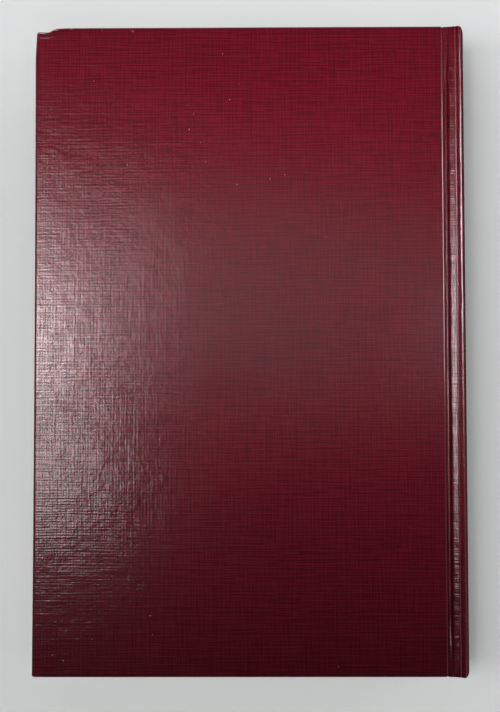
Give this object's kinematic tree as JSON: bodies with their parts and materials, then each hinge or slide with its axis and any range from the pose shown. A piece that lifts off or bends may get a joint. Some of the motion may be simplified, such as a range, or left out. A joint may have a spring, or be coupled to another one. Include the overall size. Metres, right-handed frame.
{
  "type": "hardback book",
  "caption": "Closed case-bound book with cloth-covered boards, a rounded spine, hinged covers and one solid page block.",
  "frame": {"origin": "centre of the closed book's footprint, on the surface that it lies on", "axes": "+X from the fore-edge to the spine, +Y from the tail to the head, +Z from the front cover up to the back cover"},
  "size_m": [0.1586, 0.2368, 0.0258],
  "materials": {
    "pages": "uncoated, stacked leaf edges",
    "endpaper": "uncoated",
    "headband": "woven band",
    "gauze": "open weave",
    "kraft": "uncoated",
    "card": "matt",
    "board": "matt",
    "cloth": "linen-embossed, low sheen"
  },
  "bodies": {
    "text_block": {"text_block": "pages", "front_flyleaf": "endpaper", "back_flyleaf": "endpaper", "headband_head": "headband", "headband_tail": "headband", "mull": "gauze", "spine_lining": "kraft", "spine_card": "card", "spine_cloth": "cloth"},
    "front_cover": {"front_board": "board", "front_cloth": "cloth", "front_pastedown": "endpaper"},
    "back_cover": {"back_board": "board", "back_cloth": "cloth", "back_pastedown": "endpaper"}
  },
  "joints": [
    {"name": "front_hinge", "type": "hinge", "parent": "text_block", "child": "front_cover", "pos_m": [0.0698, 0, 0.0002], "axis": [0, -1, 0], "range_deg": [0, 180]},
    {"name": "back_hinge", "type": "hinge", "parent": "text_block", "child": "back_cover", "pos_m": [0.0698, 0, 0.0256], "axis": [0, 1, 0], "range_deg": [0, 180]}
  ]
}
